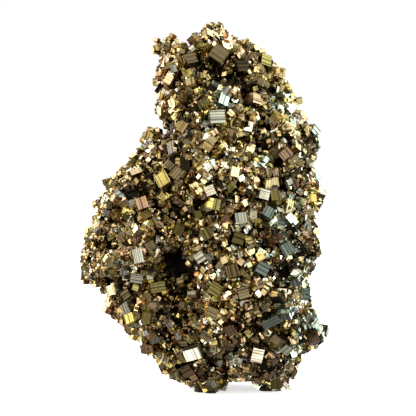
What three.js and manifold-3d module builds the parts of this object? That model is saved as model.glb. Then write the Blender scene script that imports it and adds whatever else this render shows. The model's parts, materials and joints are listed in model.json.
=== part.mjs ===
// Pyrite specimen: one upright mass of intergrown pyrite, with its larger crystals as pieces of their own.
// Millimetres, +Z up, front facing -Y. The specimen stands on two flat feet at Z = 0.

import * as THREE from 'three';
import { mergeVertices } from 'three/addons/utils/BufferGeometryUtils.js';
import Module from 'manifold-3d';

const wasm = await Module();
wasm.setup();

// ---- Driving dimensions ----

const HEIGHT = 120;
const FRONT_DEPTH = 0.23 * HEIGHT;
const BACK_DEPTH = 0.215 * HEIGHT;
const GAP = 0.3;

const CENTRE = new THREE.Vector3(3, 0, 0.48 * HEIGHT);
const TOP_DEPTH_SHARE = 0.68;
const BASE_DEPTH_SHARE = 0.82;
const MASS_DETAIL = 18;
const MASS_SEED = 11;
const LUMP_SEED = 23;
const GRAIN_JITTER = 0.55;
const RIM_GRAIN_JITTER = 0.3;

// How square the mass is in section: 2 is an ellipse, and more is squarer.
const TOP_SQUARENESS = 2.3;
const FOOT_SQUARENESS = 3.6;

// Away from the rim, the outline is smoothed over this many radians each way, and the flanks draw in.
const SOFT_SPREAD = 0.45;
const SOFT_RATE = 1.8;
const FLANK_DRAW_IN = 0.8;
const FLANK_RATE = 3;

// Front crystals stay inside this share of the outline.
const RIM_SHARE = 0.97;
const NORMAL_STEP = 0.06;
const MERGE_DISTANCE = 1e-4;

// The places of the front crystals are as seen from this far in front, and are aimed for step by step.
const VIEW_DISTANCE = 3.2 * HEIGHT;
const AIM_STEPS = 12;
const AIM_SHARE = 0.6;

// An octahedron that just touches a unit cube's corners reaches this far along each axis.
const CORNER_REACH = 1.5;
const CORNER_CUT = 0.14;
const CRYSTAL_SUNK_SHARE = 0.56;
const BACK_CRYSTAL_SEED = 5;
const BACK_CRYSTAL_PLACES = 18;
const BACK_CRYSTAL_SIZES = [3.6, 5.2];
const BACK_CRYSTAL_SHORTEST = 0.8;
const BACK_CRYSTAL_SPAN = [0.32, 0.95];
const BACK_CRYSTAL_LOWEST = 12;
const BACK_CRYSTAL_TONES = ['brass', 'brown', 'olive', 'pale', 'copper'];

// The mass seen from the front, as [X, Z] round the edge from the top, clockwise.
const OUTLINE = [
  [4.5, 125.5], [9.5, 120.5], [17, 117], [23, 113.5], [25.5, 108], [31, 102.5], [32.5, 95], [36.5, 90],
  [39.8, 82], [39, 75], [41, 64.5], [38.8, 56], [41, 45], [38.2, 40], [36, 33], [39.5, 25],
  [43, 18.5], [40, 13], [34.5, 10.5], [32.5, 5], [29.5, -2], [20, -2], [18.5, 1], [9, 1.4],
  [6.5, -2], [-2.5, -2], [-8.5, 4], [-16.2, 12], [-21.4, 19.5], [-30.4, 26.5], [-34, 34], [-40, 36],
  [-41.5, 44], [-36.9, 56], [-31, 71], [-23.3, 77], [-20, 80], [-20.5, 86], [-15, 88.5], [-16.2, 94],
  [-14.4, 104], [-16, 110], [-15.2, 118.6], [-8, 117.6], [-3.5, 116.5], [0.5, 121],
];

// Places where the front stands out (height > 0) or falls into a hollow (height < 0).
// reach is how far the feature spreads in X and in Z.
const FRONT_RELIEF = [
  { name: 'upper ridge', x: 7, z: 74, reach: [9, 18], height: 4.5 },
  { name: 'lower ridge', x: 9, z: 32, reach: [8, 15], height: 4 },
  { name: 'left lobe', x: -24, z: 42, reach: [9, 9], height: 3.5 },
  { name: 'lower left lobe', x: -19, z: 25, reach: [7, 7], height: 3 },
  { name: 'tower', x: -7, z: 106, reach: [7, 9], height: 2.5 },
  { name: 'crown', x: 8, z: 113, reach: [7, 5], height: 2.5 },
  { name: 'right lobe', x: 28, z: 58, reach: [8, 10], height: 3 },
  { name: 'deep hollow', x: -8, z: 41, reach: [4, 6], height: -9 },
  { name: 'cleft', x: -11, z: 26, reach: [3, 8], height: -3.5 },
  { name: 'crown hollow', x: 3, z: 105.5, reach: [5.5, 3.2], height: -4.5 },
  { name: 'upper hollow', x: 20, z: 82, reach: [3.2, 3.2], height: -5 },
  { name: 'second hollow', x: 25.5, z: 76, reach: [3, 3], height: -4.5 },
  { name: 'side hollow', x: -32, z: 49.5, reach: [5, 2.6], height: -4 },
  { name: 'round hollow', x: 25, z: 38.5, reach: [3, 3], height: -4 },
  { name: 'foot recess', x: 34.5, z: 19, reach: [3, 3.5], height: -3.5 },
  { name: 'shoulder cleft', x: -12, z: 88, reach: [2.8, 5], height: -3.5 },
];

// Lumps over the whole surface, each a set of waves that run in random directions.
const LUMPS = [
  { wavelength: 44, height: 4.2, waves: 5 },
  { wavelength: 21, height: 2.8, waves: 7 },
  { wavelength: 11, height: 1.6, waves: 9 },
];

const TONES = {
  pale: '#c9bf8c',
  brass: '#a58a4a',
  copper: '#8a5f3c',
  brown: '#5f4930',
  olive: '#66603a',
  dark: '#35302a',
  teal: '#5e6a62',
};

// The larger crystals of the front, by the part of the specimen that they grow on.
// Each row is [X, Z, width, height, turn in degrees, tone], X and Z being where the crystal shows.
const FRONT_CRYSTALS = {
  crown: [
    [6.0, 111.7, 5.3, 5.3, -35, 'brass'],
    [-3.6, 109.6, 3.9, 3.9, 20, 'dark'],
    [13.5, 107.4, 3.9, 3.9, 10, 'dark'],
  ],
  tower: [
    [-9.6, 104.1, 3.2, 5.0, -30, 'copper'],
    [-3.2, 102.4, 2.9, 2.9, 12, 'brass'],
    [4.9, 90.9, 5.0, 4.3, 5, 'pale'],
    [7.1, 96.6, 3.2, 3.2, -20, 'teal'],
    [17.0, 102.9, 3.6, 3.6, 35, 'copper'],
    [18.0, 97.0, 4.5, 3.4, -8, 'copper'],
    [-8.8, 81.0, 3.2, 3.9, 15, 'pale'],
  ],
  shoulder: [
    [28.2, 79.0, 2.9, 3.9, -50, 'copper'],
    [-21.0, 71.4, 3.9, 3.9, 25, 'brass'],
    [-12.3, 70.1, 4.2, 4.2, 30, 'olive'],
    [-19.3, 62.4, 3.6, 3.6, 18, 'copper'],
  ],
  ridge: [
    [10.6, 73.0, 3.0, 3.0, -12, 'brass'],
    [3.4, 67.2, 3.2, 3.2, 22, 'pale'],
    [20.8, 65.4, 3.3, 3.3, -15, 'pale'],
    [22.2, 59.0, 3.5, 3.5, -30, 'teal'],
    [29.8, 56.3, 3.0, 3.9, 38, 'pale'],
    [13.2, 57.4, 3.9, 3.2, 8, 'pale'],
    [12.7, 50.8, 3.6, 3.6, -18, 'olive'],
    [1.9, 52.3, 3.6, 3.6, 28, 'olive'],
  ],
  middle: [
    [28.9, 47.5, 3.9, 3.9, 30, 'teal'],
    [-7.2, 53.8, 3.4, 3.4, -24, 'olive'],
    [-21.2, 44.8, 3.0, 4.5, 12, 'pale'],
    [-21.4, 38.2, 3.9, 3.6, -10, 'pale'],
    [-0.3, 44.6, 3.0, 3.0, 33, 'pale'],
    [10.5, 39.4, 3.9, 3.9, 14, 'brown'],
    [20.4, 40.2, 3.9, 3.9, -28, 'teal'],
    [-14.4, 34.4, 4.8, 3.4, 9, 'olive'],
  ],
  lower: [
    [5.4, 33.9, 3.9, 3.9, -30, 'olive'],
    [14.2, 32.2, 3.4, 3.4, 16, 'brass'],
    [-23.8, 27.2, 3.9, 3.9, 30, 'pale'],
    [-18.0, 24.2, 3.0, 3.8, -10, 'olive'],
    [4.6, 26.2, 3.6, 3.6, -20, 'brass'],
    [9.8, 20.8, 3.6, 3.6, 25, 'copper'],
    [23.3, 23.4, 5.8, 3.2, 30, 'teal'],
  ],
  foot: [
    [2.2, 18.6, 3.4, 3.4, -35, 'brass'],
    [-2.5, 12.5, 5.5, 3.9, 20, 'pale'],
    [19.1, 12.2, 3.6, 5.2, -12, 'pale'],
    [28.4, 14.2, 3.6, 3.4, -40, 'pale'],
  ],
};

// ---- Seeded random numbers ----

// A linear congruential generator of numbers from 0 to 1.
function makeRandom(seed) {
  const multiplier = 1664525;
  const increment = 1013904223;
  const modulus = 2 ** 32;
  let state = seed;
  return () => {
    state = (state * multiplier + increment) % modulus;
    return state / modulus;
  };
}

// ---- The outer surface, as a function of a direction from the centre ----

const outlineRays = OUTLINE.map(([x, z]) => {
  const dx = x - CENTRE.x;
  const dz = z - CENTRE.z;
  return { angle: Math.atan2(dx, dz), radius: Math.hypot(dx, dz) };
}).sort((a, b) => a.angle - b.angle);

function outlineRadius(anyAngle) {
  const count = outlineRays.length;
  const angle = Math.atan2(Math.sin(anyAngle), Math.cos(anyAngle));
  const found = outlineRays.findIndex((ray) => ray.angle > angle);
  const next = found === -1 ? 0 : found;
  const after = outlineRays[next];
  const before = outlineRays[(next + count - 1) % count];
  const turn = 2 * Math.PI;
  const span = (after.angle - before.angle + turn) % turn;
  const share = ((angle - before.angle + turn) % turn) / span;
  return THREE.MathUtils.lerp(before.radius, after.radius, share);
}

// The edge's notches and steps fade away towards the front and back.
function softRadius(angle) {
  const shares = [-1, -2 / 3, -1 / 3, 0, 1 / 3, 2 / 3, 1];
  const total = shares.reduce((sum, share) => sum + outlineRadius(angle + share * SOFT_SPREAD), 0);
  return total / shares.length;
}

// The feet are squarer in section than the rest, so that they reach well forward and back.
function squareness(angle) {
  return THREE.MathUtils.lerp(TOP_SQUARENESS, FOOT_SQUARENESS, Math.max(0, -Math.cos(angle)));
}

function depthShareAt(z) {
  const up = THREE.MathUtils.clamp((z - CENTRE.z) / (HEIGHT - CENTRE.z), -1, 1);
  const endShare = up > 0 ? TOP_DEPTH_SHARE : BASE_DEPTH_SHARE;
  return THREE.MathUtils.lerp(1, endShare, up * up);
}

function reliefAt(x, z) {
  return FRONT_RELIEF.reduce((total, { x: cx, z: cz, reach, height }) => {
    const away = ((x - cx) / reach[0]) ** 2 + ((z - cz) / reach[1]) ** 2;
    return total + height * Math.exp(-away);
  }, 0);
}

function makeLumpWaves(random) {
  return LUMPS.flatMap(({ wavelength, height, waves }) => Array.from({ length: waves }, () => ({
    push: new THREE.Vector3(random() - 0.5, random() - 0.5, random() - 0.5)
      .setLength((2 * Math.PI) / wavelength),
    start: 2 * Math.PI * random(),
    height: height / waves,
  })));
}

const lumpWaves = makeLumpWaves(makeRandom(LUMP_SEED));

function lumpsAt(point) {
  return lumpWaves.reduce((total, { push, start, height }) => (
    total + height * Math.sin(push.dot(point) + start)
  ), 0);
}

function surfacePoint(direction) {
  const angle = Math.atan2(direction.x, direction.z);
  const power = 2 / squareness(angle);
  const edgeRadius = outlineRadius(angle);
  const softness = Math.min(1, SOFT_RATE * Math.abs(direction.y));
  const radius = Math.min(edgeRadius, THREE.MathUtils.lerp(edgeRadius, softRadius(angle), softness));
  const outward = Math.hypot(direction.x, direction.z) ** power * radius;
  const forward = Math.abs(direction.y) ** power;
  const point = new THREE.Vector3(Math.sin(angle) * outward, 0, Math.cos(angle) * outward).add(CENTRE);
  const isFront = direction.y < 0;
  const depth = (isFront ? FRONT_DEPTH : BACK_DEPTH) * depthShareAt(point.z);
  point.y = (isFront ? -1 : 1) * depth * forward;
  const lumps = lumpsAt(point);
  const relief = (isFront ? reliefAt(point.x, point.z) : 0) + lumps;
  point.y += (isFront ? -1 : 1) * relief * forward;
  const spread = (lumps - FLANK_DRAW_IN) * Math.min(1, FLANK_RATE * Math.abs(direction.y));
  point.x += spread * Math.sin(angle);
  point.z += spread * Math.cos(angle);
  return point;
}

function surfaceNormal(direction) {
  const side = new THREE.Vector3(0, 0, 1).cross(direction).normalize();
  const up = direction.clone().cross(side);
  const at = (axis, sign) => (
    surfacePoint(direction.clone().addScaledVector(axis, sign * NORMAL_STEP).normalize())
  );
  const along = at(side, 1).sub(at(side, -1));
  const over = at(up, 1).sub(at(up, -1));
  return along.cross(over).normalize();
}

// The direction whose surface point lies at X, Z on the front.
function frontDirection(x, z) {
  const dx = x - CENTRE.x;
  const dz = z - CENTRE.z;
  const angle = Math.atan2(dx, dz);
  const reached = Math.min(RIM_SHARE, Math.hypot(dx, dz) / outlineRadius(angle));
  const inPlane = reached ** (squareness(angle) / 2);
  const forward = -Math.sqrt(1 - inPlane ** 2);
  return new THREE.Vector3(Math.sin(angle) * inPlane, forward, Math.cos(angle) * inPlane);
}

// ---- Solids ----

// A closed geometry's shared points, merged into one each.
function mergePoints(geometry) {
  const bare = geometry.clone();
  bare.deleteAttribute('normal');
  bare.deleteAttribute('uv');
  return mergeVertices(bare, MERGE_DISTANCE);
}

function toSolid(geometry) {
  const merged = mergePoints(geometry);
  return new wasm.Manifold(new wasm.Mesh({
    numProp: 3,
    vertProperties: new Float32Array(merged.attributes.position.array),
    triVerts: new Uint32Array(merged.index.array),
  }));
}

function toMesh(name, solid, tone) {
  const { vertProperties, triVerts } = solid.getMesh();
  const geometry = new THREE.BufferGeometry();
  geometry.setAttribute('position', new THREE.BufferAttribute(vertProperties, 3));
  geometry.setIndex(new THREE.BufferAttribute(triVerts, 1));
  const material = new THREE.MeshStandardMaterial({ color: TONES[tone], roughness: 0.35, metalness: 0.9 });
  material.flatShading = true;
  const mesh = new THREE.Mesh(geometry, material);
  mesh.name = name;
  return mesh;
}

// A sphere pulled out to the specimen's shape, with each point nudged so that the surface is craggy.
function massSolid() {
  const random = makeRandom(MASS_SEED);
  const geometry = mergePoints(new THREE.IcosahedronGeometry(1, MASS_DETAIL));
  const position = geometry.attributes.position;
  const direction = new THREE.Vector3();
  for (let i = 0; i < position.count; i += 1) {
    direction.fromBufferAttribute(position, i).normalize();
    const jitter = THREE.MathUtils.lerp(RIM_GRAIN_JITTER, GRAIN_JITTER, Math.abs(direction.y));
    const nudge = (random() - 0.5) * 2 * jitter;
    const point = surfacePoint(direction).addScaledVector(direction, nudge);
    position.setXYZ(i, point.x, point.y, point.z);
  }
  return toSolid(geometry);
}

// Everything below the level that the feet stand on.
function groundSolid() {
  const thickness = HEIGHT / 4;
  const block = new THREE.BoxGeometry(2 * HEIGHT, 2 * HEIGHT, thickness);
  block.translate(0, 0, -thickness / 2);
  return toSolid(block);
}

// A cube-like crystal, its corners cut off by an octahedron, grown all round by an allowance.
function crystalSolid({ size, matrix }, allowance = 0) {
  const [width, height, depth] = size.map((side) => side + 2 * allowance);
  const box = toSolid(new THREE.BoxGeometry(1, 1, 1));
  const corners = toSolid(new THREE.OctahedronGeometry(CORNER_REACH * (1 - CORNER_CUT)));
  const unit = box.intersect(corners);
  const grown = new THREE.Matrix4().makeScale(width, depth, height);
  return unit.transform(new THREE.Matrix4().multiplyMatrices(matrix, grown).elements);
}

// ---- Where the crystals sit ----

function crystalCentre(direction, depth) {
  return surfacePoint(direction)
    .addScaledVector(surfaceNormal(direction), depth * (0.5 - CRYSTAL_SUNK_SHARE));
}

// Where a point shows on the plane of the outline, from the viewing distance straight in front.
function seenFromFront({ x, y, z }) {
  const growth = VIEW_DISTANCE / (VIEW_DISTANCE + y);
  return { x: CENTRE.x + (x - CENTRE.x) * growth, z: CENTRE.z + (z - CENTRE.z) * growth };
}

// The direction whose crystal shows at X, Z: each step corrects a share of what the last one missed.
function aimedDirection(x, z, depth) {
  const aim = { x, z };
  for (let step = 0; step < AIM_STEPS; step += 1) {
    const seen = seenFromFront(crystalCentre(frontDirection(aim.x, aim.z), depth));
    aim.x += (x - seen.x) * AIM_SHARE;
    aim.z += (z - seen.z) * AIM_SHARE;
  }
  return frontDirection(aim.x, aim.z);
}

// A crystal faces out of the surface, is turned about that line, and is sunk into the mass.
function crystalPlacement({ name, direction, width, height, turn, tone }) {
  const depth = Math.min(width, height);
  const centre = crystalCentre(direction, depth);
  const facing = new THREE.Quaternion()
    .setFromUnitVectors(new THREE.Vector3(0, -1, 0), surfaceNormal(direction));
  const turned = new THREE.Quaternion()
    .setFromAxisAngle(new THREE.Vector3(0, -1, 0), THREE.MathUtils.degToRad(turn));
  const matrix = new THREE.Matrix4()
    .compose(centre, facing.multiply(turned), new THREE.Vector3(1, 1, 1));
  return { name, size: [width, height, depth], matrix, centre, tone };
}

function frontPlacements() {
  return Object.entries(FRONT_CRYSTALS).flatMap(([region, rows]) => (
    rows.map(([x, z, width, height, turn, tone], index) => crystalPlacement({
      name: `${region}_crystal_${index + 1}`,
      direction: aimedDirection(x, z, Math.min(width, height)),
      width,
      height,
      turn,
      tone,
    }))
  ));
}

// The sides and back carry crystals too, spread evenly by the golden angle and clear of the ground.
function backDirections() {
  const goldenAngle = Math.PI * (3 - Math.sqrt(5));
  const places = Array.from({ length: BACK_CRYSTAL_PLACES }, (_, index) => {
    const y = THREE.MathUtils.lerp(...BACK_CRYSTAL_SPAN, (index + 0.5) / BACK_CRYSTAL_PLACES);
    const inPlane = Math.sqrt(1 - y * y);
    const angle = index * goldenAngle;
    return new THREE.Vector3(Math.cos(angle) * inPlane, y, Math.sin(angle) * inPlane);
  });
  return places.filter((direction) => surfacePoint(direction).z > BACK_CRYSTAL_LOWEST);
}

function backPlacements() {
  const random = makeRandom(BACK_CRYSTAL_SEED);
  return backDirections().map((direction, index) => {
    const size = THREE.MathUtils.lerp(...BACK_CRYSTAL_SIZES, random());
    return crystalPlacement({
      name: `back_crystal_${index + 1}`,
      direction,
      width: size,
      height: size * THREE.MathUtils.lerp(BACK_CRYSTAL_SHORTEST, 1, random()),
      turn: 90 * random(),
      tone: BACK_CRYSTAL_TONES[index % BACK_CRYSTAL_TONES.length],
    });
  });
}

// ---- Assembly ----

function pyriteSpecimen() {
  const placements = [...frontPlacements(), ...backPlacements()];
  const sockets = placements.map((placement) => crystalSolid(placement, GAP));
  const whole = massSolid().subtract(groundSolid());
  const mass = sockets.reduce((rest, socket) => rest.subtract(socket), whole);

  const group = new THREE.Group();
  group.add(toMesh('pyrite_mass', mass, 'brass'));
  placements.forEach((placement) => {
    group.add(toMesh(placement.name, crystalSolid(placement), placement.tone));
  });

  // The origin is the middle of the base, under the centre of the whole box.
  const box = new THREE.Box3().setFromObject(group);
  const middle = box.getCenter(new THREE.Vector3());
  group.position.set(-middle.x, -middle.y, -box.min.z);
  return group;
}

const group = pyriteSpecimen();

export default group;
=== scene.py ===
"""Looks of the pyrite specimen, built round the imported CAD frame. Metres, +Z up, front facing -Y.

The CAD mass becomes a rough ground mass with a crust of seeded pyrite cubes grown on it, and each CAD
crystal becomes a cube with stepped, striated faces at the place and size that the CAD gives it.
"""

import json
import math

import bmesh
import bpy
import numpy as np
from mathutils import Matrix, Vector, noise
from mathutils.bvhtree import BVHTree
from mathutils.kdtree import KDTree


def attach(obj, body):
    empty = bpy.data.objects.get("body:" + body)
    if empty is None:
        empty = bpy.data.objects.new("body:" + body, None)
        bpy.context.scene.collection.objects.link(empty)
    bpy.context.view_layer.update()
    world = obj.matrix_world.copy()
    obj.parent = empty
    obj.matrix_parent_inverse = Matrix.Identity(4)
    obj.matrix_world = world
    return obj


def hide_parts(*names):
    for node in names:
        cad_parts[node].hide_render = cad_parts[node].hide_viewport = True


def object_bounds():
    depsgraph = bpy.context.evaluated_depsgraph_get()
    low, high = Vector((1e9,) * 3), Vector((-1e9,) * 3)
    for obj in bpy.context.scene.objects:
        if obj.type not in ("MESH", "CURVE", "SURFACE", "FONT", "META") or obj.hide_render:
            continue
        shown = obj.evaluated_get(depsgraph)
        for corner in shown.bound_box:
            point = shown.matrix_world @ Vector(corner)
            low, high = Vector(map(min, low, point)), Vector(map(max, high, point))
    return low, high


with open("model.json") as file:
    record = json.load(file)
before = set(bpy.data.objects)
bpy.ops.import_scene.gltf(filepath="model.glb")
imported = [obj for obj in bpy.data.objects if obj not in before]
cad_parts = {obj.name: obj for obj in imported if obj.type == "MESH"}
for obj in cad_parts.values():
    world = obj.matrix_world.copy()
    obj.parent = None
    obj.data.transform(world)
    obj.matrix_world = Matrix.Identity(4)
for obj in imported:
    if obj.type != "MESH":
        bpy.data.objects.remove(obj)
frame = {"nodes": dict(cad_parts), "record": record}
cad_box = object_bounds()

MM = 0.001
BODY = "root"
MASS_NODE = "pyrite_mass"
SEED = 7

LOW, HIGH = (Vector(corner) for corner in cad_box)
SIZE = HIGH - LOW
CENTRE = (LOW + HIGH) / 2

# The camera looks level from straight in front, with this width of view on the outline's plane.
FRAME_WIDTH = 1.120 * SIZE.z
LENS = 100
SENSOR_WIDTH = 36
VIEW_DISTANCE = FRAME_WIDTH * LENS / SENSOR_WIDTH
VIEW_CENTRE = Vector((CENTRE.x + 0.014 * SIZE.z, CENTRE.y, CENTRE.z - 0.010 * SIZE.z))

# ---- The crust: classes of crystal, from the largest to the finest ----
# sizes: cube widths. depth: how far the centre lies under the local surface. raised: how much nearer the
# surface it lies where the crust is fine-grained. fine: share kept there. twins: chance of a parallel twin.
# All lengths are in mm.

CRYSTAL_CLASSES = [
    {"name": "deep_crystals", "count": 6500, "sizes": (1.3, 2.6), "depth": (2.9, 3.9),
     "raised": 0.0, "fine": 1.0, "twins": 0.0, "shape": "plain"},
    {"name": "large_crystals", "count": 620, "sizes": (2.8, 4.4), "depth": (0.6, 1.9),
     "raised": 0.0, "fine": 0.15, "twins": 0.5, "shape": "striated"},
    {"name": "middle_crystals", "count": 6500, "sizes": (1.6, 2.9), "depth": (0.5, 2.0),
     "raised": 0.0, "fine": 0.25, "twins": 0.3, "shape": "chipped"},
    {"name": "small_crystals", "count": 13000, "sizes": (0.8, 1.7), "depth": (0.9, 3.0),
     "raised": 0.9, "fine": 1.0, "twins": 0.3, "shape": "plain"},
    {"name": "crystal_grains", "count": 24000, "sizes": (0.35, 0.85), "depth": (0.8, 3.2),
     "raised": 0.8, "fine": 1.0, "twins": 0.0, "shape": "plain"},
]

# The crust's relief: knobs with narrower gaps between them. Widths and depths are in mm, and the two
# shares are of RELIEF_DEPTH. Within CRYSTAL_BED of a CAD crystal the crust rises again, by up to BED_RISE.
KNOB_WIDTH = 10.0
GAP_WIDTH = 4.6
RELIEF_DEPTH = 3.4
KNOB_SHARE = 0.6
GAP_SHARE = 0.6
CRYSTAL_BED = 7.0
BED_RISE = 0.8

# The ground mass lies GROUND_DEPTH under the relief. Its points are welded within WELD_DISTANCE, and those
# within FLOOR_TOLERANCE of the floor stay on it. All three are in mm.
GROUND_DEPTH = 3.5
WELD_DISTANCE = 0.01
FLOOR_TOLERANCE = 0.05

# The crust is fine-grained in zones of this width in mm, where the noise is below this level.
FINE_ZONE_WIDTH = 14.0
FINE_ZONE_LEVEL = 0.36

# The noise fields: their contrast, and how far apart they are read, in metres, so that they differ.
NOISE_CONTRAST = 0.75
GAP_NOISE = Vector((1, 0, 0))
COPPER_NOISE = Vector((0, 2, 0))
OLIVE_NOISE = Vector((0, 0, 3))
FINE_ZONE_NOISE = Vector((0, 0, 5))

# Dark hollows between the crystals of the front, as (X, Z, radius, depth) in mm, where they show.
# A depth below 0 fills up a hollow of the CAD surface.
FRONT_HOLLOWS = [
    (-8.0, 40.0, 2.4, 1.4), (-8.0, 34.0, 2.0, 1.0), (-11.5, 25.0, 2.4, 2.0), (-11.0, 19.5, 2.0, 2.0),
    (0.2, 107.0, 3.0, 4.0), (7.0, 106.0, 2.6, 4.0), (12.5, 101.0, 3.0, 4.0), (16.0, 99.5, 2.0, 3.0),
    (20.1, 83.0, 2.2, 6.0), (25.6, 77.4, 2.4, 6.5), (16.0, 79.5, 3.5, -3.5), (20.6, 67.5, 1.8, 3.0),
    (-32.6, 49.3, 2.4, 2.5), (-27.0, 48.6, 1.8, 2.0), (-21.0, 48.4, 2.0, 2.0), (-14.5, 48.8, 2.0, 2.0),
    (-22.5, 65.0, 3.5, 1.5), (23.4, 37.6, 1.8, 3.5), (18.0, 21.7, 2.6, 3.0), (34.8, 19.5, 2.6, 3.0),
    (36.5, 45.0, 2.2, 3.0), (-12.4, 87.6, 2.6, 4.0), (-13.5, 25.0, 2.4, 2.0), (2.0, 8.0, 2.2, 2.0),
    (15.5, 8.0, 2.0, 2.0),
]
# How far a hollow reaches, in its radii, and how its depth falls off towards there.
HOLLOW_REACH = 1.5
HOLLOW_POWER = 0.7

# How much of a cube one unit across its cut corners and edges take, and how often a corner is cut.
CORNER_CHANCE = 0.35
CORNER_CUTS = (0.04, 0.28)
EDGE_CUTS = (0.04, 0.22)
MOST_EDGE_CUTS = 2

# Growth steps on a face of that cube: how many, how deep, and how far from its middle they lie at most.
STEP_COUNT = 7
STEP_DEPTH = 0.03
STEP_SPAN = 0.48
# A stepped cube is three slabs crossed. From its middle they reach this far, past its corners.
SLAB_ALONG = 0.75
SLAB_ACROSS = 0.8

STRIATED_SHAPES = 14
CHIPPED_SHAPES = 16
# The smallest range and area to divide by, so that it is never 0.
TINY = 1e-9
TINY_AREA = 1e-15

# Each width of a crystal, as a share of its size.
PROPORTIONS = (0.72, 1.0)

# Parallel twins: how many at most, their distance and slip in sizes of the first crystal, and their size.
MOST_TWINS = 2
TWIN_STEPS = (0.35, 0.75)
TWIN_SLIP = 0.12
TWIN_SIZES = (0.5, 0.95)

# The centres of a crust crystal and a CAD one lie further apart than these shares of their widths together.
CRUST_CLEARANCE = 0.4
CAD_CLEARANCE = 0.56

# A crystal's reach as a share of its mean width. It runs into what its reach meets.
TOUCHING_SHARE = 0.57

# What a crust needs to know of each of its crystals.
CRYSTAL_KEYS = ("shape", "turn", "sizes", "centre", "tone", "roughness")

# Two face normals point the same way above the first cosine, and are square to each other below the second.
SAME_WAY = 0.999
SQUARE = 0.02

# Each side of a crystal differs from its tone and its roughness by these.
SIDES = 6
SIDE_SHADES = (0.5, 1.25)
SIDE_ROUGHNESSES = (-0.06, 0.12)
ROUGHNESS_LIMITS = (0.06, 0.8)
CRUST_ROUGHNESSES = (0.05, 0.22)
CAD_ROUGHNESSES = (0.14, 0.28)

# Stripes run across each crystal's faces, and start at a random place on each side.
STRIPES_PER_MM = 1.3
FEWEST_STRIPES = 2.2
STRIPE_OFFSETS = 100

# The margin round a face in its cell of the texture map, as a share of the cell.
CELL_MARGIN = 0.15

# ---- Colours of clean and tarnished pyrite, and the ground mass's painted shade, as linear reflectances ----

TONES = {
    "pale": (0.88, 0.83, 0.66),
    "brass": (0.76, 0.60, 0.31),
    "copper": (0.58, 0.38, 0.23),
    "brown": (0.43, 0.31, 0.13),
    "olive": (0.45, 0.37, 0.12),
    "dark": (0.14, 0.11, 0.06),
    "teal": (0.48, 0.56, 0.47),
}
TONE_NAMES = list(TONES)
TARNISH_TINT = (0.56, 0.44, 0.30, 1)
# The ground mass is painted nearly black, as painted shade in the gaps between the crystals.
GROUND_SHADE_BLACK = (0.004, 0.003, 0.002, 1)
GROUND_SHADE_BROWN = (0.05, 0.035, 0.02, 1)

# The share of each tone, in TONES' order, in each kind of stretch of the crust. The shade kind is painted
# shade, dark tones where shade falls, and the silver kind is pale tones and painted light.
TONE_SHARES = {
    "warm": (0.18, 0.34, 0.14, 0.14, 0.14, 0.05, 0.01),
    "cool": (0.26, 0.10, 0.08, 0.10, 0.06, 0.12, 0.28),
    "copper": (0.06, 0.18, 0.40, 0.24, 0.06, 0.05, 0.01),
    "olive": (0.06, 0.28, 0.06, 0.18, 0.38, 0.04, 0.00),
    "shade": (0.02, 0.06, 0.12, 0.34, 0.22, 0.24, 0.00),
    "silver": (0.36, 0.12, 0.16, 0.18, 0.04, 0.08, 0.06),
}

# Stretches of the front that lean to one kind, as (X, Z, radius, kind) in mm, where they show. The shade
# stretches are painted shade and the silver stretches painted light, where the front lies in shade and in
# light.
FRONT_PATCHES = [
    (30, 45, 14, "cool"), (34, 66, 9, "cool"), (27, 92, 9, "cool"), (17, 55, 8, "cool"),
    (28, 12, 8, "cool"), (6, 96, 6, "cool"), (34, 26, 7, "cool"),
    (14, 113, 9, "copper"), (-25, 62, 9, "copper"), (9, 25, 8, "copper"), (-14, 104, 7, "copper"),
    (-8, 76, 9, "olive"), (-4, 60, 9, "olive"), (-12, 30, 8, "olive"),
    (-22, 67, 7, "shade"), (-10, 80, 6, "shade"), (-11, 88, 5, "shade"), (-15, 69, 9, "shade"),
    (35, 83, 6, "shade"), (24, 77, 5, "shade"), (25, 66, 5, "shade"), (16, 22, 5, "shade"),
    (21, 29, 5, "shade"), (-9, 41, 7, "shade"), (14, 103, 6, "shade"), (-4, 112, 4, "shade"),
    (16, 98, 5, "shade"), (21, 110, 5, "shade"), (38, 18, 6, "shade"), (37, 43, 7, "shade"),
    (31, 54, 7, "shade"), (-32, 51, 4, "shade"), (-24, 33, 6, "shade"), (4, 11, 6, "shade"),
    (18, 9, 5, "shade"), (24, 7, 5, "shade"), (-5, 7, 5, "shade"),
    (8, 118, 7, "silver"), (27, 93, 8, "silver"), (-15, 111, 6, "silver"), (-15, 98, 5, "silver"),
    (-19, 83, 6, "silver"), (-33, 65, 4, "silver"), (3, 74, 8, "silver"), (1, 86, 5, "silver"),
    (14, 81, 8, "silver"), (38, 66, 8, "silver"), (11, 57, 8, "silver"), (3, 54, 6, "silver"),
    (2, 37, 9, "silver"), (8, 24, 9, "silver"), (1, 21, 8, "silver"), (-21, 19, 7, "silver"),
    (31, 26, 6, "silver"), (-24, 43, 5, "silver"), (24, 44, 5, "silver"), (-20, 57, 6, "silver"),
]
# Painted light and shade: how much lighter or darker the crystals in the middle of such a stretch are
# painted.
# Shade darkens them as painted shade and silver lightens them as painted light; cool lightens and olive
# darkens them a little as well.
PAINTED_LIGHT_LIFTS = {"shade": 0.3, "silver": 1.4, "cool": 1.15, "copper": 1.0, "olive": 0.9}

# What decides the kind of stretch that a crystal's tone is drawn from. Left and right share one weight:
# all warm up to COOL_START and all cool from COOL_END on, as X in mm where they show. A stretch adds up to
# STRETCH_WEIGHT in its middle. Shade adds DEEP_WEIGHT times the class's share of depth to DEEP_POWER:
# painted shade, so that the deeper crystals are darker where shade falls between the others.
# Copper and olive also come and go in noise of these widths in mm.
LEFT_RIGHT_WEIGHT = 0.8
STRETCH_WEIGHT = 3.0
DEEP_WEIGHT = 4
DEEP_POWER = 4
COOL_START = 6.0
COOL_END = 34.0
COPPER_WIDTH = 20
OLIVE_WIDTH = 18
TONE_LIFTS = (0.84, 1.16)


# ---- Crystal shapes, in a cube one unit across ----

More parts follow.
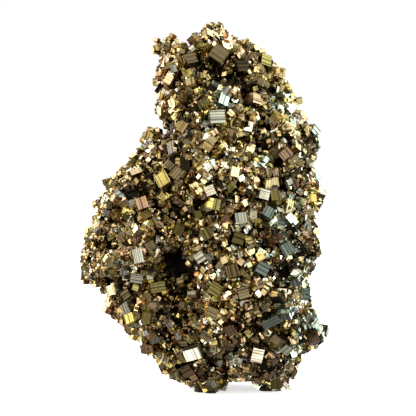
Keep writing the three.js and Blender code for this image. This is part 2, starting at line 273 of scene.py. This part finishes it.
def cube_shape():
    """A plain cube's points and faces."""
    points = [Vector((x, y, z)) for x in (-0.5, 0.5) for y in (-0.5, 0.5) for z in (-0.5, 0.5)]
    faces = [(0, 1, 3, 2), (4, 6, 7, 5), (0, 4, 5, 1), (2, 3, 7, 6), (0, 2, 6, 4), (1, 5, 7, 3)]
    return points, faces


def to_bmesh(points, faces):
    """Points and faces as a mesh to edit, its normals outward."""
    bm = bmesh.new()
    verts = [bm.verts.new(point) for point in points]
    for face in faces:
        bm.faces.new([verts[i] for i in face])
    bmesh.ops.recalc_face_normals(bm, faces=bm.faces)
    return bm


def from_bmesh(bm):
    """An edited mesh's points and faces. The mesh itself is freed."""
    bm.verts.index_update()
    points = [vert.co.copy() for vert in bm.verts]
    faces = [tuple(vert.index for vert in face.verts) for face in bm.faces]
    bm.free()
    return points, faces


def cut_off(bm, plane_point, outward):
    """Cut a convex shape with a plane, and close it there."""
    found = bmesh.ops.bisect_plane(
        bm, geom=bm.verts[:] + bm.edges[:] + bm.faces[:],
        plane_co=plane_point, plane_no=outward, clear_outer=True,
    )
    rim = [item for item in found["geom_cut"] if isinstance(item, bmesh.types.BMEdge)]
    if rim:
        bmesh.ops.edgenet_fill(bm, edges=rim)


def chipped_shape(random):
    """A cube with a few corners and edges cut off, as pyrite's octahedral and pentagonal faces do."""
    points, faces = cube_shape()
    bm = to_bmesh(points, faces)
    for point in points:
        if random.uniform() < CORNER_CHANCE:
            outward = point.normalized()
            cut_off(bm, point - outward * random.uniform(*CORNER_CUTS), outward)
    for _ in range(random.integers(0, MOST_EDGE_CUTS + 1)):
        axis = random.integers(3)
        outward = Vector((0, 0, 0))
        outward[axis] = random.choice([-2, 2])
        outward[(axis + 1) % 3] = random.choice([-1, 1])
        outward.normalize()
        corner = max(outward.dot(point) for point in points)
        cut_off(bm, outward * (corner - random.uniform(*EDGE_CUTS)), outward)
    bmesh.ops.recalc_face_normals(bm, faces=bm.faces)
    return from_bmesh(bm)


def stepped_side(random, steps, depth):
    """One side of a cube in section, as [(along, out)]: shallow steps between two ends past the corners."""
    cuts = np.sort(random.uniform(-STEP_SPAN, STEP_SPAN, steps))
    levels = 0.5 - depth * random.uniform(0, 1, steps + 1)
    along = np.concatenate([[-SLAB_ALONG], np.repeat(cuts, 2), [SLAB_ALONG]])
    return list(zip(along, np.repeat(levels, 2)))


def stepped_slab(random, axis, steps, depth):
    """The space between two stepped faces that look along axis. The steps run along the next axis."""
    upper = stepped_side(random, steps, depth)
    lower = [(along, -out) for along, out in reversed(stepped_side(random, steps, depth))]
    ring = upper + lower
    count = len(ring)
    points = []
    for end in (-SLAB_ACROSS, SLAB_ACROSS):
        for along, out in ring:
            point = Vector((0, 0, 0))
            point[axis] = out
            point[(axis + 1) % 3] = end
            point[(axis + 2) % 3] = along
            points.append(point)
    faces = [(i, (i + 1) % count, count + (i + 1) % count, count + i) for i in range(count)]
    faces += [tuple(range(count)), tuple(range(count, 2 * count))]
    bm = to_bmesh(points, faces)
    mesh = bpy.data.meshes.new("slab")
    bm.to_mesh(mesh)
    bm.free()
    slab = bpy.data.objects.new("slab", mesh)
    bpy.context.scene.collection.objects.link(slab)
    return slab


def striated_shape(random, steps, depth):
    """A cube whose faces carry growth steps: three stepped slabs crossed, each turned to the next axis."""
    slabs = [stepped_slab(random, axis, steps, depth) for axis in range(3)]
    for other in slabs[1:]:
        cross = slabs[0].modifiers.new("cross", "BOOLEAN")
        cross.operation = "INTERSECT"
        cross.solver = "MANIFOLD"
        cross.object = other
    crossed = slabs[0].evaluated_get(bpy.context.evaluated_depsgraph_get())
    mesh = bpy.data.meshes.new_from_object(crossed)
    points = [vertex.co.copy() for vertex in mesh.vertices]
    faces = [tuple(face.vertices) for face in mesh.polygons]
    for slab in slabs:
        bpy.data.objects.remove(slab)
    return points, faces


class Shape:
    """A crystal shape as flat arrays, ready to be copied many times.

    side is the side of the cube that each face lies on, and across each corner's place across the stripes.
    flat is each corner's place on its own face, from 0 to 1 both ways.
    """

    def __init__(self, points, faces):
        self.points = np.array([tuple(point) for point in points])
        self.loops = np.array([i for face in faces for i in face])
        self.totals = np.array([len(face) for face in faces])
        starts = np.cumsum(self.totals) - self.totals
        normals = np.array([self.face_normal(start, total) for start, total in zip(starts, self.totals)])
        axis = np.abs(normals).argmax(axis=1)
        owner = np.repeat(np.arange(len(axis)), self.totals)
        facing = normals[np.arange(len(axis)), axis] > 0
        self.side = axis * 2 + facing
        self.across = self.points[self.loops, (axis[owner] + 2) % 3]
        along = self.points[self.loops, (axis[owner] + 1) % 3]
        ranges = [self.within_face(values, starts) for values in (self.across, along)]
        self.flat = np.column_stack(ranges)

    def within_face(self, values, starts):
        """Each corner's value as a share of its own face's range."""
        low = np.repeat(np.minimum.reduceat(values, starts), self.totals)
        high = np.repeat(np.maximum.reduceat(values, starts), self.totals)
        return (values - low) / np.maximum(high - low, TINY)

    def face_normal(self, start, total):
        """The normal of one face, as long as twice its area."""
        corners = self.points[self.loops[start:start + total]]
        return np.cross(corners, np.roll(corners, -1, axis=0)).sum(axis=0)


def crystal_shapes(random):
    """The shapes that the crystals are drawn from, by kind."""
    striated = [striated_shape(random, STEP_COUNT, STEP_DEPTH) for _ in range(STRIATED_SHAPES)]
    chipped = [chipped_shape(random) for _ in range(CHIPPED_SHAPES)]
    return {
        "striated": [Shape(*shape) for shape in striated],
        "chipped": [Shape(*shape) for shape in chipped],
        "plain": [Shape(*cube_shape())],
    }


# ---- A crust of crystals as one mesh ----

class Crust:
    """Crystals gathered into one mesh, with each face's tone and roughness and its stripes' position."""

    def __init__(self, random, material):
        self.random = random
        self.material = material
        self.points, self.loops, self.totals = [], [], []
        self.tones, self.roughnesses = [], []
        self.stripes, self.flats = [], []
        self.count = 0

    def add(self, shape, turn, sizes, centre, tone, roughness):
        """One more crystal, whose sides each get a shade, a roughness and a start of the stripes."""
        self.points.append((shape.points * sizes) @ turn.T + centre)
        self.loops.append(shape.loops + self.count)
        self.totals.append(shape.totals)
        self.count += len(shape.points)
        shade = self.random.uniform(*SIDE_SHADES, (SIDES, 1))
        rough = roughness + self.random.uniform(*SIDE_ROUGHNESSES, SIDES)
        self.tones.append(np.clip(tone * shade[shape.side], 0, 1))
        self.roughnesses.append(np.clip(rough[shape.side], *ROUGHNESS_LIMITS))
        offset = self.random.uniform(0, STRIPE_OFFSETS, SIDES)
        side = np.repeat(shape.side, shape.totals)
        stripes = max(FEWEST_STRIPES, STRIPES_PER_MM * sizes.max() / MM)
        self.stripes.append(shape.across * stripes + offset[side])
        self.flats.append(shape.flat)

    def grid_map(self, totals):
        """Texture coordinates that give each face a square cell of its own, with a margin round it."""
        columns = math.ceil(math.sqrt(len(totals)))
        face = np.repeat(np.arange(len(totals)), totals)
        cell = np.column_stack([face % columns, face // columns])
        flat = np.concatenate(self.flats)
        return (cell + CELL_MARGIN + (1 - 2 * CELL_MARGIN) * flat) / columns

    def build(self, name):
        """The object that all the crystals make together."""
        mesh = bpy.data.meshes.new(name)
        points = np.concatenate(self.points)
        loops = np.concatenate(self.loops)
        totals = np.concatenate(self.totals)
        mesh.vertices.add(len(points))
        mesh.vertices.foreach_set("co", points.ravel())
        mesh.loops.add(len(loops))
        mesh.loops.foreach_set("vertex_index", loops)
        mesh.polygons.add(len(totals))
        mesh.polygons.foreach_set("loop_start", np.cumsum(totals) - totals)
        mesh.update(calc_edges=True)
        mesh.shade_flat()
        tones = np.concatenate(self.tones)
        tones = np.column_stack([tones, np.ones(len(tones))])
        mesh.attributes.new("tone", "FLOAT_COLOR", "FACE").data.foreach_set("color", tones.ravel())
        roughness = mesh.attributes.new("roughness", "FLOAT", "FACE")
        roughness.data.foreach_set("value", np.concatenate(self.roughnesses))
        stripes = mesh.attributes.new("stripe", "FLOAT", "CORNER")
        stripes.data.foreach_set("value", np.concatenate(self.stripes))
        layer = mesh.uv_layers.new(name="OFBake")
        layer.uv.foreach_set("vector", self.grid_map(totals).ravel())
        mesh.materials.append(self.material)
        crust = bpy.data.objects.new(name, mesh)
        bpy.context.scene.collection.objects.link(crust)
        return crust


# ---- Materials ----

class NodeTree:
    """A material's or world's nodes, made and linked in short calls."""

    def __init__(self, owner):
        owner.use_nodes = True
        self.tree = owner.node_tree
        self.tree.nodes.clear()

    def add(self, kind, inputs=None, **settings):
        """A node with its settings, each input linked to a socket or set to a value."""
        node = self.tree.nodes.new("ShaderNode" + kind)
        for name, value in settings.items():
            setattr(node, name, value)
        for name, value in (inputs or {}).items():
            if isinstance(value, bpy.types.NodeSocket):
                self.tree.links.new(value, node.inputs[name])
            else:
                node.inputs[name].default_value = value
        return node


def pyrite_material(name, ridged):
    """Striated metal in each crystal's tone, which holds painted shade and painted light in places. The
    larger crystals' stripes are ridged too.
    """
    material = bpy.data.materials.new(name)
    nodes = NodeTree(material)
    place = nodes.add("TexCoord").outputs["Object"]
    tone = nodes.add("Attribute", attribute_name="tone").outputs["Color"]
    own_roughness = nodes.add("Attribute", attribute_name="roughness").outputs["Fac"]
    stripe = nodes.add("Attribute", attribute_name="stripe").outputs["Fac"]

    patches = nodes.add("TexNoise", {"Vector": place, "Scale": 300, "Detail": 2, "Roughness": 0.6})
    tarnished = nodes.add("MapRange", {
        "Value": patches.outputs["Fac"], "From Min": 0.5, "From Max": 0.66, "To Max": 0.4,
    }).outputs[0]
    colour = nodes.add(
        "Mix", {"Factor": tarnished, "A": tone, "B": TARNISH_TINT},
        data_type="RGBA", blend_type="MULTIPLY",
    )
    grooves = nodes.add(
        "TexNoise", {"W": stripe, "Scale": 1.0, "Detail": 2, "Roughness": 0.7}, noise_dimensions="1D",
    ).outputs["Fac"]
    lines = nodes.add("MapRange", {
        "Value": grooves, "From Min": 0.41, "From Max": 0.53, "To Min": 0.32, "To Max": 1.06,
    }).outputs[0]
    striped = nodes.add("VectorMath", {0: colour.outputs["Result"], 1: lines}, operation="MULTIPLY")
    roughness = nodes.add("Math", {0: tarnished, 1: 0.15, 2: own_roughness}, operation="MULTIPLY_ADD")
    shader = nodes.add("BsdfPrincipled", {
        "Metallic": 1.0, "Base Color": striped.outputs[0], "Roughness": roughness.outputs[0],
    })
    if ridged:
        ridges = nodes.add("Bump", {"Height": grooves, "Strength": 0.3, "Distance": 0.1 * MM})
        nodes.tree.links.new(ridges.outputs[0], shader.inputs["Normal"])
    nodes.add("OutputMaterial", {"Surface": shader.outputs[0]})
    return material


def painted_shade_ground_material():
    """The grainy mass between and under the crystals, painted nearly black as painted shade in the gaps."""
    material = bpy.data.materials.new("ground_mass")
    nodes = NodeTree(material)
    place = nodes.add("TexCoord").outputs["Object"]
    grain = nodes.add("TexNoise", {"Vector": place, "Scale": 900, "Detail": 5, "Roughness": 0.7})
    colour = nodes.add("Mix", {
        "Factor": grain.outputs["Fac"], "A": GROUND_SHADE_BLACK, "B": GROUND_SHADE_BROWN,
    }, data_type="RGBA")
    bump = nodes.add("Bump", {"Height": grain.outputs["Fac"], "Strength": 0.9, "Distance": 0.6 * MM})
    shader = nodes.add("BsdfPrincipled", {
        "Metallic": 0.8, "Roughness": 0.55,
        "Base Color": colour.outputs["Result"], "Normal": bump.outputs[0],
    })
    nodes.add("OutputMaterial", {"Surface": shader.outputs[0]})
    return material


# ---- The surface that the crystals grow on ----

def unit_noise(point, width):
    """Smooth noise from 0 to 1 whose features are about width mm across."""
    level = 0.5 + NOISE_CONTRAST * noise.noise(Vector(point) / (width * MM))
    return min(1.0, max(0.0, level))


def seen_from_front(point):
    """X and Z of a point in mm, as they show on the outline's plane from the camera's distance."""
    growth = VIEW_DISTANCE / (VIEW_DISTANCE + point[1] - VIEW_CENTRE.y)
    return (
        (VIEW_CENTRE.x + (point[0] - VIEW_CENTRE.x) * growth) / MM,
        (VIEW_CENTRE.z + (point[2] - VIEW_CENTRE.z) * growth) / MM,
    )


def relief_depth(point, crystal_centres):
    """How far the crust lies under the CAD surface here, in metres: knobs, with narrower gaps between.

    It rises again round the larger crystals, so that they grow out of it.
    """
    knob = unit_noise(point, KNOB_WIDTH)
    gap = unit_noise(Vector(point) + GAP_NOISE, GAP_WIDTH)
    depth = RELIEF_DEPTH * (KNOB_SHARE * (1 - knob) + GAP_SHARE * (1 - gap) ** 2)
    if point[1] < 0:
        seen_x, seen_z = seen_from_front(point)
        for x, z, radius, hollow in FRONT_HOLLOWS:
            away = math.hypot(seen_x - x, seen_z - z) / radius
            depth += hollow * max(0.0, 1 - away / HOLLOW_REACH) ** HOLLOW_POWER
    nearest = np.linalg.norm(crystal_centres - np.array(point), axis=1).min()
    closeness = max(0.0, 1 - nearest / (CRYSTAL_BED * MM))
    return depth * (1 - BED_RISE * closeness) * MM


class Surface:
    """The CAD mass's surface, to be sampled evenly by area."""

    def __init__(self, mesh):
        mesh.calc_loop_triangles()
        points = np.array([tuple(vertex.co) for vertex in mesh.vertices])
        corners = points[np.array([tuple(triangle.vertices) for triangle in mesh.loop_triangles])]
        self.start = corners[:, 0]
        self.first = corners[:, 1] - corners[:, 0]
        self.second = corners[:, 2] - corners[:, 0]
        cross = np.cross(self.first, self.second)
        area = np.linalg.norm(cross, axis=1)
        self.normals = cross / np.maximum(area, TINY_AREA)[:, None]
        self.chances = area / area.sum()

    def sample(self, random, count):
        """Pairs of a random point on the surface and the normal there."""
        chosen = random.choice(len(self.start), count, p=self.chances)
        u, v = random.uniform(size=(2, count, 1))
        u, v = np.where(u + v > 1, (1 - u, 1 - v), (u, v))
        points = self.start[chosen] + self.first[chosen] * u + self.second[chosen] * v
        return zip(points, self.normals[chosen])


def build_ground(mass, material, crystal_centres):
    """The CAD mass drawn in under the crust, its feet left flat on the floor."""
    bm = bmesh.new()
    bm.from_mesh(mass.data)
    bmesh.ops.remove_doubles(bm, verts=bm.verts, dist=WELD_DISTANCE * MM)
    bm.normal_update()
    for vert in bm.verts:
        on_floor = vert.co.z < FLOOR_TOLERANCE * MM
        inward = vert.normal * (GROUND_DEPTH * MM + relief_depth(vert.co, crystal_centres))
        if on_floor:
            inward.z = 0
        vert.co -= inward
    mesh = bpy.data.meshes.new("ground_mass")
    bm.to_mesh(mesh)
    bm.free()
    mesh.materials.append(material)
    ground = bpy.data.objects.new("ground_mass", mesh)
    bpy.context.scene.collection.objects.link(ground)
    return ground


# ---- Crystals ----

def random_turn(random):
    """A rotation with every direction equally likely, as a 3 by 3 array."""
    quaternion = random.normal(size=4)
    w, x, y, z = quaternion / np.linalg.norm(quaternion)
    return np.array([
        [1 - 2 * (y * y + z * z), 2 * (x * y - z * w), 2 * (x * z + y * w)],
        [2 * (x * y + z * w), 1 - 2 * (x * x + z * z), 2 * (y * z - x * w)],
        [2 * (x * z - y * w), 2 * (y * z + x * w), 1 - 2 * (x * x + y * y)],
    ])


def tone_at(random, point, depth_share):
    """A crystal's colour: warm at the left, cool at the right, painted darker deep down as painted shade,
    with other stretches, some of them painted shade and painted light.
    """
    seen_x, seen_z = seen_from_front(point)
    cool = min(1.0, max(0.0, (seen_x - COOL_START) / (COOL_END - COOL_START)))
    weights = dict.fromkeys(TONE_SHARES, 0.0)
    weights["warm"] = LEFT_RIGHT_WEIGHT * (1 - cool)
    weights["cool"] = LEFT_RIGHT_WEIGHT * cool
    # Painted shade: the deeper a class lies, the more of its crystals take the shade kind's dark tones.
    weights["shade"] = DEEP_WEIGHT * depth_share ** DEEP_POWER
    weights["copper"] = unit_noise(Vector(point) + COPPER_NOISE, COPPER_WIDTH) ** 2
    weights["olive"] = unit_noise(Vector(point) + OLIVE_NOISE, OLIVE_WIDTH) ** 2
    lift_with_painted_light = random.uniform(*TONE_LIFTS)
    # Painted light and shade: the front's shade and silver stretches darken and lighten the crystals there.
    if point[1] < 0:
        for x, z, radius, kind in FRONT_PATCHES:
            nearness = max(0.0, 1 - math.hypot(seen_x - x, seen_z - z) / radius)
            weights[kind] += STRETCH_WEIGHT * nearness
            lift_with_painted_light *= 1 + (PAINTED_LIGHT_LIFTS[kind] - 1) * nearness
    shares = sum(weight * np.array(TONE_SHARES[kind]) for kind, weight in weights.items())
    name = TONE_NAMES[random.choice(len(TONE_NAMES), p=shares / shares.sum())]
    return np.array(TONES[name]) * lift_with_painted_light


def cad_crystals():
    """Each CAD crystal's centre, axes and sizes, read from its six largest faces."""
    found = {}
    for name, node in frame["nodes"].items():
        if name == MASS_NODE:
            continue
        mesh = node.data
        mesh.calc_loop_triangles()
        points = np.array([tuple(vertex.co) for vertex in mesh.vertices])
        corners = points[np.array([tuple(triangle.vertices) for triangle in mesh.loop_triangles])]
        areas = np.cross(corners[:, 1] - corners[:, 0], corners[:, 2] - corners[:, 0])
        lengths = np.linalg.norm(areas, axis=1)
        units = areas / lengths[:, None]
        alike = np.abs(units @ units.T) > SAME_WAY
        totals = alike @ lengths
        first = units[totals.argmax()]
        second = units[np.where(np.abs(units @ first) < SQUARE, totals, 0).argmax()]
        axes = np.array([first, second, np.cross(first, second)]).T
        along = points @ axes
        low, high = along.min(axis=0), along.max(axis=0)
        found[name] = {"centre": axes @ ((low + high) / 2), "axes": axes, "sizes": high - low}
    return found


def quarter_of(point):
    """The quarter that a point of the crust lies in, by its direction from the middle in plan."""
    across = (point[0] - CENTRE.x) / SIZE.x
    back = (point[1] - CENTRE.y) / SIZE.y
    if abs(across) > abs(back):
        return "right" if across > 0 else "left"
    return "back" if back > 0 else "front"


def twin_group(random, kind, centre, size, turn):
    """The place and sizes of a crystal, then those of its parallel twins, each drawn as it is asked for."""
    twins = (random.uniform() < kind["twins"]) * random.integers(1, MOST_TWINS + 1)
    for member in range(1 + twins):
        sizes = size * random.uniform(*PROPORTIONS, 3)
        place = centre
        if member:
            step = turn[:, random.integers(3)] * size * random.choice([-1, 1])
            place = centre + step * random.uniform(*TWIN_STEPS)
            place = place + turn @ (random.normal(size=3) * size * TWIN_SLIP)
            sizes *= random.uniform(*TWIN_SIZES)
        yield place, sizes


def grow_class(random, kind, surface, shapes, taken):
    """One class of crystals over the whole surface, clear of the CAD crystals' places."""
    grown = []
    centres = np.array([entry["centre"] for entry in taken.values()])
    widths = np.array([entry["sizes"].max() for entry in taken.values()])
    choices = shapes[kind["shape"]]
    for point, normal in surface.sample(random, kind["count"]):
        size = random.uniform(*kind["sizes"]) * MM
        is_fine = unit_noise(Vector(point) + FINE_ZONE_NOISE, FINE_ZONE_WIDTH) < FINE_ZONE_LEVEL
        depth = random.uniform(*kind["depth"]) - is_fine * kind["raised"]
        kept = random.uniform() < (kind["fine"] if is_fine else 1.0)
        if not kept:
            continue
        centre = point - normal * (depth * MM + relief_depth(point, centres))
        turn = random_turn(random)
        tone = tone_at(random, centre, kind["depth"][0] / GROUND_DEPTH)
        roughness = random.uniform(*CRUST_ROUGHNESSES)
        for place, sizes in twin_group(random, kind, centre, size, turn):
            reach = 0.5 * np.abs(turn[2]) @ sizes
            place = np.array([place[0], place[1], max(place[2], reach)])
            clearance = CAD_CLEARANCE * widths + CRUST_CLEARANCE * sizes.max()
            clear = np.linalg.norm(centres - place, axis=1) > clearance
            if clear.all():
                grown.append({
                    "crust": f"{kind['name']}_{quarter_of(point)}",
                    "ridged": kind["shape"] == "striated",
                    "shape": choices[random.integers(len(choices))],
                    "turn": turn,
                    "sizes": sizes,
                    "centre": place,
                    "tone": tone,
                    "roughness": roughness,
                })
    return grown


def held_crystals(grown, ground):
    """The crystals that are held: those that run into the ground mass, or into others that are held."""
    surface = bmesh.new()
    surface.from_mesh(ground.data)
    below = BVHTree.FromBMesh(surface)
    surface.free()
    reaches = np.array([crystal["sizes"].mean() * TOUCHING_SHARE for crystal in grown])
    widest = reaches.max()
    places = KDTree(len(grown))
    held = set()
    for index, crystal in enumerate(grown):
        centre = Vector(crystal["centre"])
        places.insert(centre, index)
        nearest, normal, _, distance = below.find_nearest(centre)
        if distance < reaches[index] or (centre - nearest).dot(normal) < 0:
            held.add(index)
    places.balance()
    waiting = list(held)
    while waiting:
        index = waiting.pop()
        reach = reaches[index]
        for _, other, distance in places.find_range(grown[index]["centre"], reach + widest):
            if other not in held and distance < reach + reaches[other]:
                held.add(other)
                waiting.append(other)
    return [grown[index] for index in sorted(held)]


def dress(piece, nodes, slot):
    """Tie a piece to its body, and hide the CAD nodes that it stands for. The slot is not used."""
    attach(piece, BODY)
    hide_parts(*nodes)


def dress_mass(random, ridged, smooth, shapes, taken, slot):
    """The ground mass and the crust that grows on it, in one piece for each class and quarter."""
    mass = frame["nodes"][MASS_NODE]
    centres = np.array([entry["centre"] for entry in taken.values()])
    ground = build_ground(mass, painted_shade_ground_material(), centres)
    dress(ground, [MASS_NODE], slot)
    surface = Surface(mass.data)
    grown = []
    for kind in CRYSTAL_CLASSES:
        grown += grow_class(random, kind, surface, shapes, taken)
    crusts = {}
    for found in held_crystals(grown, ground):
        crust = crusts.setdefault(found["crust"], Crust(random, ridged if found["ridged"] else smooth))
        crust.add(**{key: found[key] for key in CRYSTAL_KEYS})
    for name, crust in crusts.items():
        dress(crust.build(name), [MASS_NODE], slot)


def dress_crystal(random, ridged, shapes, name, entry, slot):
    """One CAD crystal, as a stepped and striated cube in its slot's tone."""
    tone = np.array(TONES[slot.replace("pyrite_", "")])
    crystal = Crust(random, ridged)
    shape = shapes["striated"][random.integers(len(shapes["striated"]))]
    roughness = random.uniform(*CAD_ROUGHNESSES)
    crystal.add(shape, entry["axes"], entry["sizes"], entry["centre"], tone, roughness)
    dress(crystal.build(name.replace("crystal", "cube")), [name], slot)


def specimen():
    """The whole specimen: the mass with its crust, then the larger crystals."""
    random = np.random.default_rng(SEED)
    ridged = pyrite_material("ridged_pyrite", True)
    smooth = pyrite_material("smooth_pyrite", False)
    shapes = crystal_shapes(random)
    taken = cad_crystals()
    slots = {row["node"]: row["material_slot"] for row in frame["record"]["subparts"]}
    dress_mass(random, ridged, smooth, shapes, taken, slots[MASS_NODE])
    for name, entry in taken.items():
        dress_crystal(random, ridged, shapes, name, entry, slots[name])


# ---- Studio ----

# Soft boxes all round: direction, half width in degrees, strength and colour.
SOFT_BOXES = [
    ((-0.90, -0.30, 0.35), 27, 3.8, (1.00, 0.94, 0.82)),
    ((0.92, -0.28, 0.22), 27, 3.8, (0.88, 0.98, 0.93)),
    ((0.00, -0.35, 1.00), 20, 2.0, (1.00, 0.98, 0.94)),
    ((-0.42, -0.82, 0.40), 13, 2.4, (1.00, 0.95, 0.87)),
    ((0.48, -0.84, -0.10), 13, 2.5, (0.96, 1.00, 0.94)),
    ((-0.20, -0.72, -0.62), 17, 2.3, (1.00, 0.94, 0.84)),
    ((-0.60, 0.75, 0.30), 24, 4.0, (1.00, 0.93, 0.80)),
    ((0.68, 0.70, 0.20), 24, 4.0, (0.90, 0.98, 1.00)),
]
# A box is as bright as stated within the first share of its half width, and dark past the second.
BOX_FULL = 0.75
BOX_END = 1.4

# The room's light, from as low as ROOM_BOTTOM in the direction's height up to straight above.
ROOM_BOTTOM = -0.7
DARK_ROOM = 0.26
BRIGHT_ROOM = 0.42
BACKDROP = 1.0

FLOOR_HALF_WIDTH = 30 * SIZE.z
FLOOR_GREY = 0.8
FLOOR_GLOW = 0.62


def studio_world():
    """Soft boxes in a dim room for the metal to mirror, before a plain pale backdrop."""
    world = bpy.data.worlds.new("studio")
    bpy.context.scene.world = world
    nodes = NodeTree(world)
    place = nodes.add("TexCoord").outputs["Generated"]
    height = nodes.add("SeparateXYZ", {"Vector": place}).outputs["Z"]
    room = nodes.add("MapRange", {
        "Value": height, "From Min": ROOM_BOTTOM, "From Max": 1.0,
        "To Min": DARK_ROOM, "To Max": BRIGHT_ROOM,
    }).outputs[0]
    light = nodes.add("CombineXYZ", {"X": room, "Y": room, "Z": room}).outputs[0]
    for direction, half_width, strength, colour in SOFT_BOXES:
        toward = nodes.add(
            "VectorMath", {0: place, 1: Vector(direction).normalized()}, operation="DOT_PRODUCT",
        ).outputs["Value"]
        inside = nodes.add("MapRange", {
            "Value": toward,
            "From Min": math.cos(math.radians(half_width * BOX_END)),
            "From Max": math.cos(math.radians(half_width * BOX_FULL)),
        }, interpolation_type="SMOOTHSTEP").outputs[0]
        glow = nodes.add(
            "VectorMath", {0: Vector(colour) * strength, "Scale": inside}, operation="SCALE",
        ).outputs[0]
        light = nodes.add("VectorMath", {0: light, 1: glow}, operation="ADD").outputs[0]
    lit = nodes.add("Background", {"Color": light, "Strength": 1.0}).outputs[0]
    seen = nodes.add("Background", {"Color": (1, 1, 1, 1), "Strength": BACKDROP}).outputs[0]
    ray = nodes.add("LightPath").outputs["Is Camera Ray"]
    mixed = nodes.add("MixShader", {"Fac": ray, 1: lit, 2: seen})
    nodes.add("OutputWorld", {"Surface": mixed.outputs[0]})


def studio_floor():
    """A plain pale floor that the metal doesn't mirror and isn't lit by."""
    material = bpy.data.materials.new("pale_floor")
    nodes = NodeTree(material)
    matt = nodes.add("BsdfDiffuse", {"Color": (FLOOR_GREY, FLOOR_GREY, FLOOR_GREY, 1)}).outputs[0]
    glow = nodes.add("Emission", {"Color": (1, 1, 1, 1), "Strength": FLOOR_GLOW}).outputs[0]
    mixed = nodes.add("AddShader", {0: matt, 1: glow})
    nodes.add("OutputMaterial", {"Surface": mixed.outputs[0]})
    half = FLOOR_HALF_WIDTH
    corners = [(-half, -half, 0), (half, -half, 0), (half, half, 0), (-half, half, 0)]
    mesh = bpy.data.meshes.new("floor")
    mesh.from_pydata(corners, [], [(0, 1, 2, 3)])
    mesh.materials.append(material)
    floor = bpy.data.objects.new("floor", mesh)
    floor.visible_glossy = False
    floor.visible_diffuse = False
    bpy.context.scene.collection.objects.link(floor)


def studio_camera():
    """Level with the specimen's middle, with a long lens, its height filling nine tenths of the frame."""
    data = bpy.data.cameras.new("camera")
    data.lens = LENS
    data.sensor_width = SENSOR_WIDTH
    data.clip_start = 0.01
    camera = bpy.data.objects.new("camera", data)
    camera.location = VIEW_CENTRE - Vector((0, VIEW_DISTANCE, 0))
    camera.rotation_euler = (math.pi / 2, 0, 0)
    bpy.context.scene.collection.objects.link(camera)
    bpy.context.scene.camera = camera
    bpy.context.scene.view_settings.view_transform = "Standard"


specimen()
studio_world()
studio_floor()
studio_camera()
